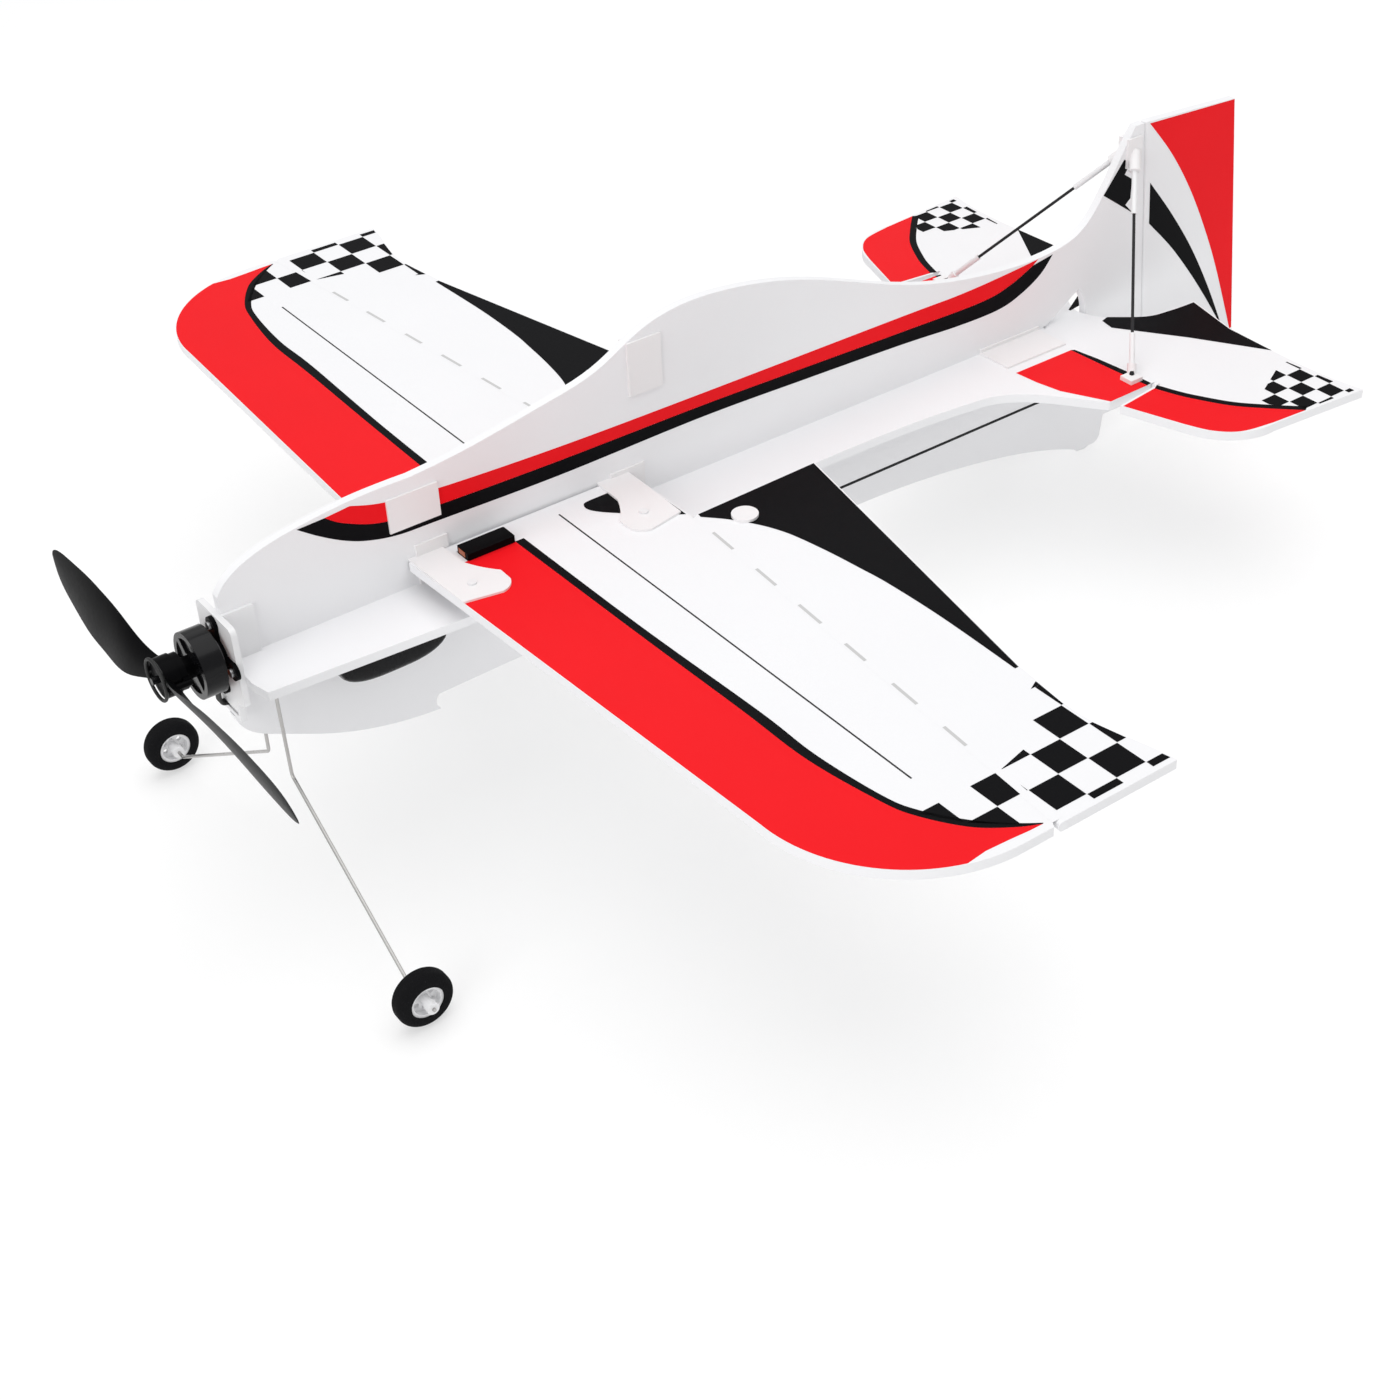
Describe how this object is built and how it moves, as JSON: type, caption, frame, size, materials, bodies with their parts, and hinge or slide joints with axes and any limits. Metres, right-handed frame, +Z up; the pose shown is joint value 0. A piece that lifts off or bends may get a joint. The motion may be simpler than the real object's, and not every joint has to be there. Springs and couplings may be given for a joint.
{
  "type": "foam rc airplane",
  "caption": "Flat-foam radio-control aerobatic airplane with hinged control surfaces, servo linkages, outrunner motor, propeller, wire landing gear and braced tail.",
  "frame": {"origin": "on the floor, centred in X and Y under the bounding box of the airplane standing on its wheels and tail skid", "axes": "+Z up, nose towards -Y, tail towards +Y, left wing tip towards +X; the fuselage is tipped nose-up as it rests"},
  "size_m": [0.5604, 0.5808, 0.1787],
  "materials": {
    "foam": "matt foam sheet with printed red, black and white scheme",
    "clear_plastic": "clear gloss",
    "carbon": "satin carbon rod",
    "wire_steel": "drawn wire",
    "black_plastic": "satin",
    "white_plastic": "satin moulded",
    "tyre_foam": "matt foam rubber",
    "motor_black": "gloss anodised",
    "stator_steel": "satin",
    "copper": "enamelled copper wire",
    "screw_steel": "satin",
    "ring_rubber": "satin",
    "battery_wrap": "satin shrink film",
    "board_wrap": "clear shrink over a dark board",
    "lead_black": "silicone insulation"
  },
  "bodies": {
    "airframe": {"aileron_servos": "black_plastic", "battery": "battery_wrap", "brace_feet": "clear_plastic", "brace_rods": "carbon", "brace_sleeves": "white_plastic", "bracket_rivets": "white_plastic", "canopy_plates": "clear_plastic", "fin_clips": "clear_plastic", "firewall": "white_plastic", "floor_plate_nose": "foam", "floor_plate_rear": "foam", "fuselage_profile_lower": "foam", "fuselage_profile_upper": "foam", "gear_clamps": "white_plastic", "landing_gear_wire": "wire_steel", "motor_lead_1": "lead_black", "motor_lead_2": "lead_black", "motor_lead_3": "lead_black", "motor_mount": "black_plastic", "motor_mount_screws": "screw_steel", "motor_stator": "stator_steel", "motor_windings": "copper", "nose_joiners": "clear_plastic", "nose_profile_lower": "foam", "nose_profile_upper": "foam", "receiver": "black_plastic", "spars": "carbon", "speed_controller": "board_wrap", "tail_brackets": "clear_plastic", "tail_servos": "black_plastic", "tail_skid": "white_plastic", "wheel_retainers": "white_plastic", "wing_brackets_front": "clear_plastic", "wing_brackets_rear": "clear_plastic", "wing_left": "foam", "wing_right": "foam"},
    "aileron_left": {"aileron_left": "foam", "horn_aileron_left": "clear_plastic"},
    "aileron_right": {"aileron_right": "foam", "horn_aileron_right": "clear_plastic"},
    "elevator": {"elevator": "foam", "horn_elevator": "white_plastic"},
    "rudder": {"rudder": "foam", "horn_rudder": "white_plastic"},
    "propeller": {"motor_bell": "motor_black", "propeller_adapter": "black_plastic", "propeller_ring": "ring_rubber", "propeller": "black_plastic"},
    "wheel_left": {"wheel_hub_left": "white_plastic", "tyre_left": "tyre_foam"},
    "wheel_right": {"wheel_hub_right": "white_plastic", "tyre_right": "tyre_foam"},
    "arm_aileron_left": {"arm_aileron_left": "white_plastic"},
    "rod_aileron_left": {"rod_aileron_left": "carbon"},
    "arm_aileron_right": {"arm_aileron_right": "white_plastic"},
    "rod_aileron_right": {"rod_aileron_right": "carbon"},
    "arm_elevator": {"arm_elevator": "white_plastic"},
    "rod_elevator": {"rod_elevator": "carbon"},
    "arm_rudder": {"arm_rudder": "white_plastic"},
    "rod_rudder": {"rod_rudder": "carbon"}
  },
  "joints": [
    {"name": "aileron_left_hinge", "type": "hinge", "parent": "airframe", "child": "aileron_left", "pos_m": [0.1635, -0.07637, 0.11402], "axis": [0.9966, -0.0818, 0.0077], "range_deg": [-30, 30]},
    {"name": "aileron_right_hinge", "type": "hinge", "parent": "airframe", "child": "aileron_right", "pos_m": [-0.1635, -0.07637, 0.11402], "axis": [0.9966, 0.0818, -0.0077], "range_deg": [-30, 30]},
    {"name": "elevator_hinge", "type": "hinge", "parent": "airframe", "child": "elevator", "pos_m": [0, 0.16633, 0.07918], "axis": [1, 0, 0], "range_deg": [-30, 30]},
    {"name": "rudder_hinge", "type": "hinge", "parent": "airframe", "child": "rudder", "pos_m": [0, 0.23007, 0.08675], "axis": [0, 0.0088, 1], "range_deg": [-30, 30]},
    {"name": "propeller_spin", "type": "hinge", "parent": "airframe", "child": "propeller", "pos_m": [0, -0.26578, 0.12498], "axis": [0, -0.9956, 0.0935], "continuous": true},
    {"name": "wheel_left_spin", "type": "hinge", "parent": "airframe", "child": "wheel_left", "pos_m": [0.104, -0.25468, 0.01326], "axis": [1, 0, 0], "continuous": true},
    {"name": "wheel_right_spin", "type": "hinge", "parent": "airframe", "child": "wheel_right", "pos_m": [-0.1052, -0.26121, 0.01326], "axis": [1, 0, 0], "continuous": true},
    {"name": "arm_aileron_left_pivot", "type": "hinge", "parent": "airframe", "child": "arm_aileron_left", "pos_m": [0.013, -0.15317, 0.10486], "axis": [0, 0.0935, 0.9956], "range_deg": [-40, 40]},
    {"name": "rod_aileron_left_pivot", "type": "hinge", "parent": "arm_aileron_left", "child": "rod_aileron_left", "pos_m": [0.023, -0.15317, 0.10486], "axis": [0, 0.0935, 0.9956], "range_deg": [-40, 40]},
    {"name": "arm_aileron_right_pivot", "type": "hinge", "parent": "airframe", "child": "arm_aileron_right", "pos_m": [-0.013, -0.15317, 0.10486], "axis": [0, 0.0935, 0.9956], "range_deg": [-40, 40]},
    {"name": "rod_aileron_right_pivot", "type": "hinge", "parent": "arm_aileron_right", "child": "rod_aileron_right", "pos_m": [-0.023, -0.15317, 0.10486], "axis": [0, 0.0935, 0.9956], "range_deg": [-40, 40]},
    {"name": "arm_elevator_pivot", "type": "hinge", "parent": "airframe", "child": "arm_elevator", "pos_m": [-0.0113, -0.02577, 0.0711], "axis": [1, 0, 0], "range_deg": [-49, 49]},
    {"name": "rod_elevator_pivot", "type": "hinge", "parent": "arm_elevator", "child": "rod_elevator", "pos_m": [-0.0113, -0.02483, 0.08106], "axis": [1, 0, 0], "range_deg": [-49, 49]},
    {"name": "arm_rudder_pivot", "type": "hinge", "parent": "airframe", "child": "arm_rudder", "pos_m": [0.0113, -0.06294, 0.08163], "axis": [1, 0, 0], "range_deg": [-38.5, 38.5]},
    {"name": "rod_rudder_pivot", "type": "hinge", "parent": "arm_rudder", "child": "rod_rudder", "pos_m": [0.0113, -0.06388, 0.07167], "axis": [1, 0, 0], "range_deg": [-38.5, 38.5]}
  ],
  "couplings": [
    {"joint": "arm_aileron_left_pivot", "follows": "aileron_left_hinge", "ratio": 1.3},
    {"joint": "rod_aileron_left_pivot", "follows": "aileron_left_hinge", "ratio": -1.3},
    {"joint": "arm_aileron_right_pivot", "follows": "aileron_right_hinge", "ratio": -1.3},
    {"joint": "rod_aileron_right_pivot", "follows": "aileron_right_hinge", "ratio": 1.3},
    {"joint": "arm_elevator_pivot", "follows": "elevator_hinge", "ratio": -1.6},
    {"joint": "rod_elevator_pivot", "follows": "elevator_hinge", "ratio": 1.6},
    {"joint": "arm_rudder_pivot", "follows": "rudder_hinge", "ratio": 1.25},
    {"joint": "rod_rudder_pivot", "follows": "rudder_hinge", "ratio": -1.25}
  ]
}
